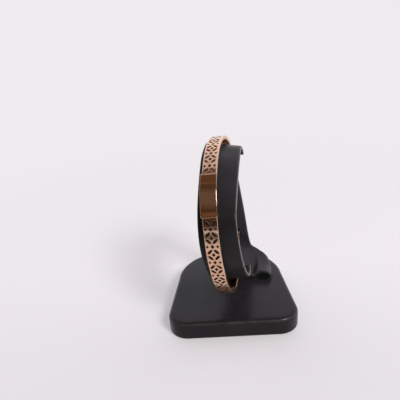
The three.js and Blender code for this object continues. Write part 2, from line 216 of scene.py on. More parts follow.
class BangleColours(bpy.types.PropertyGroup):
    """Colours of the metal and of the stand's cover."""

    gold: colour("Gold", "Rose gold plating", (0.77, 0.495, 0.342))
    # The colour that painted shade gives the plating
    gold_shade: colour("Gold in shade", "The plating where it is shut in", (0.12, 0.045, 0.02))
    leatherette: colour("Leatherette", "The cover of the base and the collar", (0.0122, 0.0106, 0.0127))
    tongue_leatherette: colour("Tongue leatherette", "The support's cover", (0.047, 0.042, 0.049))
    worn: colour("Worn edge", "Bare backing along a cut edge", (0.2, 0.185, 0.18))


class BangleStudio(bpy.types.PropertyGroup):
    """Floor, light and camera."""

    floor: colour("Floor", "Floor and background", (0.86, 0.825, 0.853))
    room: colour("Room", "Dim room before the object", (0.11, 0.064, 0.036))
    camera_place: bpy.props.FloatVectorProperty(
        name="Camera place", description="Where the camera stands, mm", default=(-1.4, -152, 109.9), size=3
    )
    camera_turn: bpy.props.FloatVectorProperty(
        name="Camera turn",
        description="The camera's rotation",
        default=[math.radians(a) for a in (67.7, 4.79, 1.38)],
        subtype="EULER",
        size=3,
    )
    lens: length("Lens", "Focal length on a 36 mm sensor", 36)


# ---- meshes ----------------------------------------------------------------------------------


def add_mesh(name, points, faces, material, smooth_angle=38):
    """A mesh object at the origin from an array of points in millimetres and lists of faces."""
    mesh = bpy.data.meshes.new(name)
    mesh.from_pydata((points * MM).tolist(), [], faces)
    mesh.polygons.foreach_set("use_smooth", np.ones(len(mesh.polygons), bool))
    mesh.set_sharp_from_angle(angle=math.radians(smooth_angle))
    mesh.validate()
    mesh.materials.append(material)
    piece = bpy.data.objects.new(name, mesh)
    bpy.context.scene.collection.objects.link(piece)
    return piece


def write_share(piece, name, values):
    """Stores a share from 0 to 1 at each point, for the piece's material to read by its name."""
    piece.data.attributes.new(name, "FLOAT", "POINT").data.foreach_set("value", values)


def stand_for(piece, slot, *nodes):
    """Puts a finished piece in its nodes' place, and stops if it leaves their box."""
    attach(piece, "root")
    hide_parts(*nodes)
    corners = np.array([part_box(node) for node in nodes])
    low, high = corners[:, 0].min(0) - FIT_SLACK, corners[:, 1].max(0) + FIT_SLACK
    box = np.array(piece.bound_box)
    if (box.min(0) < low).any() or (box.max(0) > high).any():
        raise RuntimeError(f"{piece.name} leaves its CAD box: {box.min(0)} {box.max(0)} {low} {high}")


def turned(points, rotation, centre):
    """Points of a turned local frame, in the part's frame."""
    return points @ np.array(rotation.to_matrix()).T + np.array(centre)


def smooth_line(rows, per_span):
    """Centripetal Catmull-Rom curve through the rows: between two of them, each point is Barry and
    Goldman's pyramid of straight mixes over four rows, with knots apart by the root of their
    distance. Before the first and after the last, a row is mirrored."""
    rows = np.asarray(rows, float)
    ends = np.vstack([2 * rows[0] - rows[1], rows, 2 * rows[-1] - rows[-2]])
    p = np.stack([ends[:-3], ends[1:-2], ends[2:-1], ends[3:]])[:, :, None, :]
    gaps = np.sqrt(np.linalg.norm(p[1:] - p[:-1], axis=-1))
    t0 = np.zeros_like(gaps[0])
    t1, t2, t3 = gaps[0], gaps[0] + gaps[1], gaps.sum(0)
    t = t1 + (t2 - t1) * np.linspace(0, 1, per_span, endpoint=False)

    def mix(a, b, from_t, to_t):
        """Straight mix of two rows, by how far t lies between their knots."""
        share = ((t - from_t) / (to_t - from_t))[..., None]
        return a * (1 - share) + b * share

    a1, a2, a3 = mix(p[0], p[1], t0, t1), mix(p[1], p[2], t1, t2), mix(p[2], p[3], t2, t3)
    b1, b2 = mix(a1, a2, t0, t2), mix(a2, a3, t1, t3)
    line = mix(b1, b2, t1, t2).reshape(-1, rows.shape[1])
    return np.vstack([line, rows[-1]])


def grid_faces(inside):
    """Faces of a grid of points from which holes are left out, where `inside` marks the points in a
    hole: a cell with no such point is a quad, and a cell with one is the triangle of its others."""
    columns, rows = inside.shape
    ids = np.arange(columns * rows).reshape(columns, rows)
    corners = np.stack([ids[:-1, :-1], ids[1:, :-1], ids[1:, 1:], ids[:-1, 1:]], -1).reshape(-1, 4)
    lost = inside.ravel()[corners]
    quads = corners[lost.sum(1) == 0]
    cut = lost.sum(1) == 1
    first = lost[cut].argmax(1)
    turns = (first[:, None] + np.arange(1, 4)) % 4
    triangles = np.take_along_axis(corners[cut], turns, 1)
    return quads, triangles


def sheet(outer, inner, inside):
    """Closed sheet between two grids of points, with walls round its rim and its holes: each edge
    that only one face has is carried from the outer grid to the inner one. The last thing returned is
    which points of the two grids, one after the other, the sheet has."""
    count = outer.shape[0] * outer.shape[1]
    quads, triangles = grid_faces(inside)
    edges = np.concatenate([
        np.stack([face, np.roll(face, -1, 1)], -1).reshape(-1, 2) for face in (quads, triangles)
    ])
    keys = edges[:, 0] * count + edges[:, 1]
    lone = edges[~np.isin(keys, edges[:, 1] * count + edges[:, 0])]
    walls = np.stack([lone[:, 1], lone[:, 0], lone[:, 0] + count, lone[:, 1] + count], -1)
    points = np.vstack([outer.reshape(-1, 3), inner.reshape(-1, 3)])
    faces = [
        *quads.tolist(),
        *triangles.tolist(),
        *(quads[:, ::-1] + count).tolist(),
        *(triangles[:, ::-1] + count).tolist(),
        *walls.tolist(),
    ]
    used, renumbered = np.unique(np.concatenate([np.ravel(f) for f in faces]), return_inverse=True)
    sizes = np.cumsum([len(f) for f in faces])[:-1]
    return points[used], [f.tolist() for f in np.split(renumbered, sizes)], used


def loft(loops):
    """Closed solid through a stack of closed loops of points: a quad from each point and the next on
    its loop to the same two on the loop after, and last a flat face over each end."""
    rows, around, _ = loops.shape
    ids = np.arange(rows * around).reshape(rows, around)
    ahead = np.roll(ids, -1, 1)
    quads = np.stack([ids[:-1], ahead[:-1], ahead[1:], ids[1:]], -1).reshape(-1, 4)
    return loops.reshape(-1, 3), [*quads.tolist(), ids[0, ::-1].tolist(), ids[-1].tolist()]


def share_between(values, low, high):
    """How far each value lies on the way from low to high: 0 before it, 1 past it, even between."""
    return np.clip((values - low) / (high - low), 0, 1)


def eased(share):
    """A share with a soft start and end: 3 times its square less 2 times its cube."""
    return share * share * (3 - 2 * share)


def bell(values, middle, spread):
    """1 at the middle, and e to the power of minus the square of the distance in spreads off it."""
    return np.exp(-((values - middle) / spread)**2)


def rounding(distance, radius):
    """How far a face lies below its full height near an edge: a quarter circle of that radius."""
    share = 1 - np.clip(distance / radius, 0, 1)
    return radius * (1 - np.sqrt(1 - share**2))


def strip_edges(width, count):
    """Places across a strip, close together near its two edges: even steps round a half circle."""
    return width * (1 - np.cos(np.linspace(0, math.pi, count))) / 2


def rounded_box(half_width, thickness, radius, per_corner=5):
    """Closed loop of a rounded rectangle, as places across and heights from 0 down: a quarter circle
    at each corner, anticlockwise from the lower right."""
    turns = np.linspace(0, math.pi / 2, per_corner)
    corners = [(1, -1, -math.pi / 2), (1, 1, 0), (-1, 1, math.pi / 2), (-1, -1, math.pi)]
    loop = [
        np.stack([
            side * (half_width - radius) + radius * np.cos(start + turns),
            -thickness / 2 + top * (thickness / 2 - radius) + radius * np.sin(start + turns),
        ], -1)
        for side, top, start in corners
    ]
    return np.vstack(loop)


# ---- the hoop --------------------------------------------------------------------------------


def hoop_rotation():
    """How the hoop is turned: leant back, then tilted sideways, then turned about the vertical."""
    where = bpy.context.scene.bangle_placement
    return Euler((-where.lean, -where.tilt, where.turn), "XYZ")


def on_hoop(across, arc, height):
    """Place on the hoop, which is two half ellipses, the front one round. The turn is the arc over the
    radius. The place lies the sum of depth and height times the turn's cosine to the front, and the sum
    of radius and height times its sine up."""
    sizes = bpy.context.scene.bangle_sizes
    turn = arc / sizes.radius
    depth = np.where(np.cos(turn) > 0, sizes.radius, sizes.back_depth)
    local = np.stack(np.broadcast_arrays(
        across, -(depth + height) * np.cos(turn), (sizes.radius + height) * np.sin(turn)
    ), -1)
    return turned(local, hoop_rotation(), bpy.context.scene.bangle_placement.centre)


def quarter_length(sizes):
    """Arc from the plaque's middle to the joint of the two halves: a quarter of the round hoop."""
    return math.pi / 2 * sizes.radius


def oval(across, along, half_width, half_length):
    """Signed distance, roughly, from an ellipse: its level less 1, over the level's slope. Outside
    is positive."""
    level = np.hypot(across / half_width, along / half_length)
    slope = np.hypot(across / half_width**2, along / half_length**2)
    return level * (level - 1) / (slope + 1e-9)


def diamond(across, along, half_width, half_length):
    """Signed distance from a diamond: its level less 1, over the level's slope, which is the same
    everywhere. Outside is positive."""
    reach = np.abs(across) / half_width + np.abs(along) / half_length - 1
    return reach / math.hypot(1 / half_width, 1 / half_length)


def openwork_distance(across, arc):
    """Distance from the nearest hole of the openwork, negative inside a hole. The pattern folds over
    the band's middle line, over each flower's middle and over each diamond's middle, so it is worked
    out for a quarter of one flower."""
    sizes = bpy.context.scene.bangle_sizes
    half = sizes.half_period
    side = np.abs(across)
    from_first = np.abs(arc) - sizes.first_flower
    along = np.abs((from_first + half) % (2 * half) - half)
    slant_along = (side - sizes.petal_side + along - half + sizes.petal_from_diamond) / math.sqrt(2)
    slant_across = (side - sizes.petal_side - along + half - sizes.petal_from_diamond) / math.sqrt(2)
    petal = oval(slant_across, slant_along, sizes.petal_width / 2, sizes.petal_length / 2)
    width = sizes.diamond * DIAMOND_WIDTH
    flower = diamond(side, along, width, sizes.diamond)
    between = diamond(side, half - along, width, sizes.diamond)
    between = np.where(from_first > 0, between, half)
    dots = diamond(side - sizes.dot_side, along, sizes.dot, sizes.dot)
    nearest = np.minimum.reduce([petal, flower, between, dots])
    # The pattern's two ends, in half periods from the first flower
    first, last = -0.95, 2 * sizes.flower_count - 0.25
    pierced = (from_first > first * half) & (from_first < last * half)
    return np.where(pierced, nearest, half)


def snapped(across, arc, distance, step):
    """Points of a square grid, those next to an outline moved on to it down the slope of the
    distance, which is measured between two points a hair apart. Of two neighbours on either side of
    the outline, along the way that is nearer to square to it, only the closer one moves."""
    hair, over_half = 1e-4, 0.505 * step
    for _ in range(3):
        d = distance(across, arc)
        slope_across = (distance(across + hair, arc) - distance(across - hair, arc)) / (2 * hair)
        slope_arc = (distance(across, arc + hair) - distance(across, arc - hair)) / (2 * hair)
        steep = slope_across**2 + slope_arc**2 + 1e-9
        squareness = np.maximum(np.abs(slope_across), np.abs(slope_arc)) / np.sqrt(steep)
        near = np.abs(d) < over_half * squareness
        across = across - np.where(near, d * slope_across / steep, 0)
        arc = arc - np.where(near, d * slope_arc / steep, 0)
    return across, arc


class BANGLE_OT_front(bpy.types.Operator):
    """Builds the pierced front half of the hoop"""

    bl_idname = "bangle.front"
    bl_label = "Openwork front"

    def execute(self, context):
        # A square grid over the band, moved on to the outlines of the holes, is carried to the hoop at
        # its outer and its inner face, with the rims of both rounded
        sizes = context.scene.bangle_sizes
        step = sizes.half_period / 30
        hole_round, side_round, hole_edge = 0.035, 0.2, -0.02
        half_width, end = sizes.band_width / 2, quarter_length(sizes) - HALVES_GAP
        columns = np.linspace(-half_width, half_width, 2 * round(half_width / step) + 1)
        rows = np.linspace(-end, end, 2 * round(end / step) + 1)
        across, arc = np.meshgrid(columns, rows, indexing="ij")
        across, arc = snapped(across, arc, openwork_distance, step)
        hole = openwork_distance(across, arc)
        rim = half_width - np.abs(across)
        drop = np.maximum(rounding(hole, hole_round), rounding(rim, side_round))
        outer = on_hoop(across, arc, -drop)
        inner = on_hoop(across, arc, -sizes.band_thickness + drop)
        points, faces, kept = sheet(outer, inner, hole < hole_edge)
        piece = add_mesh("bangle_openwork", points, faces, rose_gold("rose_gold_band", 0.16))
        # Painted shade round the holes and at the lower end, and satin, stored for the material
        painted_shade, satin = self.shares(across.ravel(), arc.ravel(), hole.ravel(), end)
        write_share(piece, "painted_shade", painted_shade[kept])
        write_share(piece, "satin", satin[kept])
        stand_for(piece, "rose_gold", "bangle_front")
        return {"FINISHED"}

    def shares(self, across, arc, hole, end):
        """How much painted shade and how satin the outer face is, and after it the inner face. Both carry
        painted shade along their right side at the lower end, where the dark base would be reflected, and
        round the holes, but for the inner face's upper half, which is satin. The outer face's foot is a
        little of each: slight painted shade, and satin."""
        shade_width, right_side = 0.28, 1.9
        down = -arc / end
        # The foot near the lower end takes a slight painted shade and some satin
        foot = share_between(down, 0.74, 0.82)
        # Painted shade round the holes, fading out over the shade width
        rim_shade = share_between(hole, shade_width, 0)
        satin_inside = (arc > 0).astype(float)
        # Painted reflection of the dark base: the right side darkens toward the lower end
        low_side = 0.7 * share_between(down, 0.86, 0.96) * (across > right_side)
        outer_shade = np.maximum.reduce([0.7 * rim_shade, 0.15 * foot, low_side])
        inner_shade = np.maximum(rim_shade * (1 - satin_inside), low_side)
        return np.concatenate([outer_shade, inner_shade]), np.concatenate([0.45 * foot, satin_inside])


class BANGLE_OT_back(bpy.types.Operator):
    """Builds the plain back half of the hoop, as a rounded rectangle carried round it"""

    bl_idname = "bangle.back"
    bl_label = "Plain back"

    def execute(self, context):
        sizes = context.scene.bangle_sizes
        quarter = quarter_length(sizes)
        start = quarter + HALVES_GAP
        arcs = np.linspace(start, 4 * quarter - start, 160)
        across, height = rounded_box(sizes.band_width / 2, sizes.band_thickness, 0.3).T
        points, faces = loft(on_hoop(across[None], arcs[:, None], height[None]))
        piece = add_mesh("bangle_plain_back", points, faces, rose_gold("rose_gold_back", 0.16))
        inside = height < 0.05 - sizes.band_thickness
        write_share(piece, "satin", np.outer(arcs < 2 * quarter, inside).ravel())
        # Painted shade: its right side is darkened beside the tongue's slot and by its lower end, over the
        # base
        turn, slot, slot_spread, right_side = arcs / quarter, 2.12, 0.12, 1.2
        shaded = bell(turn, slot, slot_spread) + 0.7 * share_between(turn, 2.78, 2.88)
        write_share(piece, "painted_shade", np.outer(shaded, across > right_side).ravel())
        stand_for(piece, "rose_gold", "bangle_back")
        return {"FINISHED"}


class BANGLE_OT_plates(bpy.types.Operator):
    """Builds the plain hinge and clasp plates inside the hoop, each a rounded rectangle carried along
    it over the joint"""

    bl_idname = "bangle.plates"
    bl_label = "Hinge and clasp plates"

    def execute(self, context):
        sizes = context.scene.bangle_sizes
        thickness, corner, below_outer_face = 0.5, 0.15, 1
        across, height = rounded_box(sizes.plate_width / 2, thickness, corner).T
        reach = sizes.plate_length / 2
        for node, middle in (("clasp_plate", 1), ("hinge_plate", -1)):
            arcs = middle * quarter_length(sizes) + np.linspace(-reach, reach, 24)
            points, faces = loft(on_hoop(across[None], arcs[:, None], height[None] - below_outer_face))
            piece = add_mesh(f"bangle_{node}", points, faces, rose_gold(f"rose_gold_{node}", 0.2))
            stand_for(piece, "rose_gold", node)
        return {"FINISHED"}


class BANGLE_OT_plaque(bpy.types.Operator):
    """Builds the polished plaque with its raised rim, a rounded rectangle carried to the hoop at two
    heights"""

    bl_idname = "bangle.plaque"
    bl_label = "Plaque"

    def execute(self, context):
        sizes = context.scene.bangle_sizes
        half = np.array([sizes.plaque_width, sizes.plaque_length]) / 2
        corner, rim_slope, edge_round, over_band = 0.55, 0.1, 0.12, 0.03

        def within(across, arc):
            """Distance inside a rounded rectangle: the corner's radius less the distance past a
            rectangle smaller by that radius."""
            past = np.stack([np.abs(across), np.abs(arc)], -1) - half + corner
            outside = np.linalg.norm(np.maximum(past, 0), axis=-1)
            return corner - outside - np.minimum(past.max(-1), 0)

        rows = strip_edges(2 * half[1], 141) - half[1]
        into_corner = np.maximum(np.abs(rows) - half[1] + corner, 0)
        row_width = half[0] - corner + np.sqrt(corner**2 - into_corner**2)
        across = (strip_edges(2, 57) - 1)[:, None] * row_width
        arc = np.broadcast_to(rows, across.shape)
        depth = within(across, arc)
        slope = share_between(depth, sizes.rim_width, sizes.rim_width + rim_slope)
        height = sizes.plaque_height - rounding(depth, edge_round) - eased(slope) * sizes.rim_height
        outer = on_hoop(across, arc, height)
        inner = on_hoop(across, arc, np.full_like(across, over_band))
        points, faces, _ = sheet(outer, inner, np.zeros(arc.shape, bool))
        piece = add_mesh("bangle_plaque", points, faces, rose_gold("rose_gold_plaque", 0.07, 0.015))
        stand_for(piece, "rose_gold", "plaque")
        return {"FINISHED"}


# ---- the stand -------------------------------------------------------------------------------


def beside(line, distance):
    """Lines moved square to their course, seen from the side: each point goes along the normal of
    the chord between its neighbours."""
    chord = np.empty_like(line)
    chord[:, 1:-1] = line[:, 2:] - line[:, :-2]
    chord[:, 0], chord[:, -1] = line[:, 1] - line[:, 0], line[:, -1] - line[:, -2]
    along = chord[..., 1:] / np.linalg.norm(chord[..., 1:], axis=-1, keepdims=True)
    moved = line.copy()
    moved[..., 1] -= along[..., 1] * distance
    moved[..., 2] += along[..., 0] * distance
    return moved


def lengths_along(line):
    """How far each point lies along its line, as the sum of the steps before it."""
    steps = np.linalg.norm(np.diff(line, axis=1), axis=-1)
    return np.concatenate([np.zeros((len(line), 1)), np.cumsum(steps, 1)], 1)


class BANGLE_OT_collar(bpy.types.Operator):
    """Builds the bowed collar, a sheet between its two edge curves"""

    bl_idname = "bangle.collar"
    bl_label = "Collar"

    def execute(self, context):
        # The course at each place across mixes the two edge curves by that place's share of the width.
        # The inner face lies square to it, a thickness inside, and both are rounded toward the rim
        sizes = context.scene.stand_sizes
        where = context.scene.bangle_placement
        left = smooth_line([(row["left_back"], row["left_up"]) for row in COLLAR_ROWS], 14)[::-1]
        right = smooth_line([(row["right_back"], row["right_up"]) for row in COLLAR_ROWS], 14)[::-1]
        width = sizes.collar_right - sizes.collar_left
        places = strip_edges(width, 49)
        share = (places / width)[:, None, None]
        course = left[None] * (1 - share) + right[None] * share
        across = np.broadcast_to((places + sizes.collar_left)[:, None], course.shape[:2])
        face = np.concatenate([across[..., None], course], -1)
        run = lengths_along(face)
        to_end = np.minimum(run, run[:, -1:] - run)
        to_side = np.minimum(places, width - places)[:, None]
        radius = 0.4 * sizes.collar_thickness
        drop = rounding(np.minimum(to_end, to_side), radius)
        outer = turned(beside(face, -drop), hoop_rotation(), where.centre)
        inner = turned(beside(face, drop - sizes.collar_thickness), hoop_rotation(), where.centre)
        points, faces, _ = sheet(outer, inner, np.zeros(course.shape[:2], bool))
        cover = leatherette("leatherette_collar", context.scene.bangle_colours.leatherette)
        piece = add_mesh("stand_collar_cover", points, faces, cover, 60)
        # Its right edge is worn bare, and its outer face is paler away from the middle of its height: a
        # painted highlight on its top and bottom bends
        worn_width, middle_height = 0.26, -1
        worn = share_between(width - places, worn_width, 0)[:, None] * np.ones(course.shape[:2])
        bend_highlight = 0.11 * share_between(np.abs(course[..., 1] - middle_height), 18, 24)
        write_share(piece, "wear_and_highlight", np.concatenate([np.maximum(worn, bend_highlight).ravel(), worn.ravel()]))
        stand_for(piece, "leatherette", "stand_collar")
        return {"FINISHED"}


def wing_lift(across, right):
    """How far the foot is raised: 0 on the base, eased up to 1 on its wing, and less past the wing's
    middle, by the cube of the way from there to its end."""
    start, flat, middle, drop, least_width = 10, 12, 14.4, 0.75, 2
    past = np.maximum(0, (across - middle) / np.maximum(right - middle, least_width))
    return eased(share_between(across, start, flat)) - drop * past**3


class BANGLE_OT_support(bpy.types.Operator):
    """Builds the support: a sheet from its foot to its tongue, with a slot for the hoop"""

    bl_idname = "bangle.support"
    bl_label = "Support"

    def execute(self, context):
        # The middle of its thickness goes straight from its left edge to its right one, raised on the
        # wing, and its two faces lie square to its course, half a thickness to each side
        sizes = context.scene.stand_sizes
        where = context.scene.bangle_placement
        names = ("back", "up", "seat", "left", "right", "reach")
        table = smooth_line([[row[name] for name in names] for row in SUPPORT_ROWS], 16)
        back, up, seat, left, right, reach = table.T
        share = strip_edges(1, 97)[:, None]
        across = left + (right - left) * share
        height = seat + (up - seat) * wing_lift(across, right)
        further = reach * np.maximum(0, 1 - share / TONGUE_LEVEL)
        back = back + TONGUE_COURSE[0] * further
        height = height + TONGUE_COURSE[1] * further
        face = np.stack([across, back, height], -1)
        run = lengths_along(face)
        to_end = np.minimum(run, run[:, -1:] - run)
        to_side = np.minimum(across - left, right - across)
        half = sizes.support_thickness / 2
        rim = rounding(np.minimum(to_end, to_side), 0.8 * half)
        upright = Euler((0, 0, where.turn))
        middle = turned(face, upright, (0, 0, 0))
        inside = self.in_slot(context, middle)
        outer = turned(beside(face, half - rim), upright, (0, 0, 0))
        inner = turned(beside(face, rim - half), upright, (0, 0, 0))
        points, faces, _ = sheet(outer, inner, inside)
        cover = leatherette("leatherette_support", context.scene.bangle_colours.tongue_leatherette)
        piece = add_mesh("stand_support_cover", points, faces, cover, 60)
        stand_for(piece, "leatherette", "stand_support")
        return {"FINISHED"}

    def in_slot(self, context, points):
        """Which points lie in the way of the hoop's lower back half: those no further across than the
        band, and no higher or lower over its ellipse than its two faces, with the clearance added."""
        hoop, where = context.scene.bangle_sizes, context.scene.bangle_placement
        clearance = context.scene.stand_sizes.slot_clearance
        local = (points - np.array(where.centre)) @ np.array(hoop_rotation().to_matrix())
        level = np.hypot(local[..., 1] / hoop.back_depth, local[..., 2] / hoop.radius)
        mean = np.hypot(local[..., 1], local[..., 2])
        height = mean - mean / level
        beside_band = np.abs(local[..., 0]) > hoop.band_width / 2 + clearance
        off_band = (height > clearance) | (height < -hoop.band_thickness - clearance)
        return ~(beside_band | off_band | (local[..., 2] > 0))


class BANGLE_OT_base(bpy.types.Operator):
    """Builds the padded base: its profile from the underside's middle round the edge to the top's
    middle, carried round its outline"""

    bl_idname = "bangle.base"
    bl_label = "Stand base"

    def execute(self, context):
        sizes = context.scene.stand_sizes
        outline, inward = self.outline(sizes)
        edge, bottom = sizes.edge_round, 0.9
        turns = np.linspace(0, math.pi / 2, 9)
        side_in = np.concatenate([
            bottom * (1 - np.sin(turns)), edge * (1 - np.cos(turns))
        ])
        side_up = np.concatenate([
            bottom * (1 - np.cos(turns)), sizes.height - edge + edge * np.sin(turns)
        ])
        shares = np.linspace(0, 1, 26)[1:-1]
        loops = [outline + inward * distance for distance in side_in]
        heights = [np.full(len(outline), up) for up in side_up]
        for share in shares:
            loops.append((outline + inward * edge) * (1 - share))
            heights.append(np.full(len(outline), sizes.height))
        stack = np.concatenate([np.stack(loops), np.stack(heights)[..., None]], -1)
        points, faces = loft(stack)
        black = context.scene.bangle_colours.leatherette
        # The base carries a painted shadow under the support's wing
        cover = leatherette("leatherette_base", black, polish=0.23, shadow_place=WING_SHADOW_PLACE)
        piece = add_mesh("stand_base_cover", points, faces, cover, 60)
        # A painted highlight: a line a third of the way up the rounded edge is a little paler, where the
        # padded edge catches light
        crease_highlight = bell(np.arange(len(loops)), len(turns) + 3, 1.2)
        write_share(piece, "wear_and_highlight", np.repeat(0.2 * crease_highlight, len(outline)))
        stand_for(piece, "leatherette", "stand_base")
        return {"FINISHED"}

    def outline(self, sizes):
        """Four arcs joined by straight sides, anticlockwise from the front right, and the unit
        normals that point inwards."""
        places, normals = [], []
        front, back = sizes.width / 2, sizes.back_width / 2
        corners = [
            (1, -1, front, sizes.front_radius, -90),
            (1, 1, back, sizes.back_radius, 0),
            (-1, 1, back, sizes.back_radius, 90),
            (-1, -1, front, sizes.front_radius, 180),
        ]
        for side, end, half, radius, start in corners:
            turn = np.radians(start + np.linspace(0, 90, 25))
            ray = np.stack([np.cos(turn), np.sin(turn)], -1)
            centre = np.array([side * (half - radius), end * (sizes.depth / 2 - radius)])
            places.append(centre + radius * ray)
            normals.append(-ray)
        return np.vstack(places), np.vstack(normals)


# ---- materials -------------------------------------------------------------------------------


class Nodes:
    """Short way to add and join the nodes of one tree. Where a value is asked for, it is an output of
    a node, or a number or a colour."""

    def __init__(self, tree):
        self.tree = tree

    def add(self, kind, **settings):
        """A node with its settings."""
        node = self.tree.nodes.new(kind)
        for name, value in settings.items():
            setattr(node, name, value)
        return node

    def feed(self, value, socket):
        """Joins an output to the socket, or sets the socket to a number, a place or a colour."""
        if isinstance(value, bpy.types.NodeSocket):
            self.tree.links.new(value, socket)
        elif socket.type == "RGBA":
            socket.default_value = (*value, 1)
        else:
            socket.default_value = value

    def ramp(self, value, low, high, to_low=0.0, to_high=1.0):
        """The value's way from low to high, carried over to the way from to_low to to_high."""
        node = self.add("ShaderNodeMapRange")
        for name, number in (
            ("Value", value), ("From Min", low), ("From Max", high), ("To Min", to_low), ("To Max", to_high)
        ):
            self.feed(number, node.inputs[name])
        return node.outputs["Result"]

    def mix(self, share, a, b):
        """Colour that is a where the share is 0, and b where it is 1."""
        node = self.add("ShaderNodeMix", data_type="RGBA")
        for name, value in (("Factor", share), ("A", a), ("B", b)):
            self.feed(value, node.inputs[name])
        return node.outputs["Result"]

    def work_out(self, operation, *values, **settings):
        """Result of an operation on numbers."""
        node = self.add("ShaderNodeMath", operation=operation, **settings)
        for value, socket in zip(values, node.inputs):
            self.feed(value, socket)
        return node.outputs["Value"]

    def split(self, place):
        """The three coordinates of a place."""
        node = self.add("ShaderNodeSeparateXYZ")
        self.feed(place, node.inputs["Vector"])
        return node.outputs["X"], node.outputs["Y"], node.outputs["Z"]


class Finish(Nodes):
    """The nodes of one material, laid out by the place on the piece."""

    def __init__(self, name):
        """Starts a material of that name."""
        self.material = bpy.data.materials.new(name)
        self.material.use_nodes = True
        super().__init__(self.material.node_tree)
        self.shader = self.tree.nodes["Principled BSDF"]
        self.place = self.add("ShaderNodeTexCoord").outputs["Object"]

    def set_shader(self, **values):
        """Feeds values to the shader's sockets, named with _ for a space."""
        for name, value in values.items():
            self.feed(value, self.shader.inputs[name.replace("_", " ")])

    def noise(self, scale, detail):
        """Smooth noise, `scale` lumps to a metre."""
        node = self.add("ShaderNodeTexNoise")
        for name, value in (("Vector", self.place), ("Scale", scale), ("Detail", detail)):
            self.feed(value, node.inputs[name])
        return node.outputs["Fac"]

    def cells(self, scale):
        """Distance from the nearest of scattered points, `scale` of them to a metre."""
        node = self.add("ShaderNodeTexVoronoi")
        self.feed(self.place, node.inputs["Vector"])
        self.feed(scale, node.inputs["Scale"])
        return node.outputs["Distance"]

    def stored(self, name):
        """Share that write_share() stored by this name, or 0 on a piece without it."""
        return self.add("ShaderNodeAttribute", attribute_name=name).outputs["Fac"]

    def distance(self, place):
        """Distance from a place."""
        node = self.add("ShaderNodeVectorMath", operation="DISTANCE")
        self.feed(self.place, node.inputs[0])
        self.feed(place, node.inputs[1])
        return node.outputs["Value"]

    def bump(self, value, strength, distance, before=None):
        """Normal of a surface raised by the value, on top of the normal `before`."""
        node = self.add("ShaderNodeBump")
        for name, number in (("Strength", strength), ("Distance", distance), ("Height", value)):
            self.feed(number, node.inputs[name])
        if before is not None:
            self.feed(before, node.inputs["Normal"])
        return node.outputs["Normal"]


def darker(value, share):
    """A colour times a share, or lighter where that is over 1."""
    return tuple(c * share for c in value)


def rose_gold(name, roughness, ripple=0.06):
    """Plated metal: a smooth coat with slight clouds in its colour and its polish. It is satin where
    `satin` says, and painted dark toward the shade colour, as painted shade, where the stored shade share
    says."""
    nodes = Finish(name)
    colours = bpy.context.scene.bangle_colours
    gold, satin_roughness = tuple(colours.gold), 0.4
    cloud = nodes.ramp(nodes.noise(180, 3), 0.3, 0.7)
    plating = nodes.mix(cloud, gold, darker(gold, 0.9))
    polish = nodes.ramp(nodes.noise(900, 2), 0.3, 0.7, roughness * 0.85, roughness * 1.15)
    nodes.set_shader(
        # Painted shade: the plating is mixed toward the shade colour by the stored share
        Base_Color=nodes.mix(nodes.stored("painted_shade"), plating, tuple(colours.gold_shade)),
        Roughness=nodes.work_out("MULTIPLY_ADD", nodes.stored("satin"), satin_roughness, polish),
        Metallic=1,
        Normal=nodes.bump(nodes.noise(1400, 2), ripple, 0.0001),
    )
    return nodes.material


def leatherette(name, cover, polish=0.36, shadow_place=None):
    """Embossed cover: a fine pebbled grain, softly clouded, pale in patches where the stored wear share
    says: the collar's worn edge, and painted highlights on the collar's bends and the base's crease. Round
    a given place in metres, it is painted dark and dull, a painted shadow in the hollow under the wing."""
    nodes = Finish(name)
    cover = tuple(cover)
    worn = tuple(bpy.context.scene.bangle_colours.worn)
    cloud = nodes.ramp(nodes.noise(60, 3), 0.3, 0.7)
    tint = nodes.mix(cloud, cover, darker(cover, 1.35))
    patches = nodes.ramp(nodes.noise(350, 3), 0.35, 0.6, to_low=0.5)
    # Pale toward the worn colour where the stored share says: a worn edge, and painted highlights
    tint = nodes.mix(nodes.work_out("MULTIPLY", nodes.stored("wear_and_highlight"), patches), tint, worn)
    gloss = nodes.ramp(nodes.noise(250, 2), 0.3, 0.7, polish, polish + 0.08)
    # Painted shadow: round the place under the wing the cover is painted dark and made dull
    if shadow_place is not None:
        within = nodes.ramp(nodes.distance(shadow_place), 0.005, 0.0025)
        tint = nodes.mix(within, tint, darker(cover, 0.1))
        gloss = nodes.work_out("MAXIMUM", within, gloss)
    grain = nodes.bump(nodes.cells(2600), 0.18, 0.00006)
    normal = nodes.bump(nodes.noise(700, 3), 0.15, 0.0001, grain)
    nodes.set_shader(Base_Color=tint, Roughness=gloss, Specular_IOR_Level=0.15, Normal=normal)
    return nodes.material


# ---- studio ----------------------------------------------------------------------------------


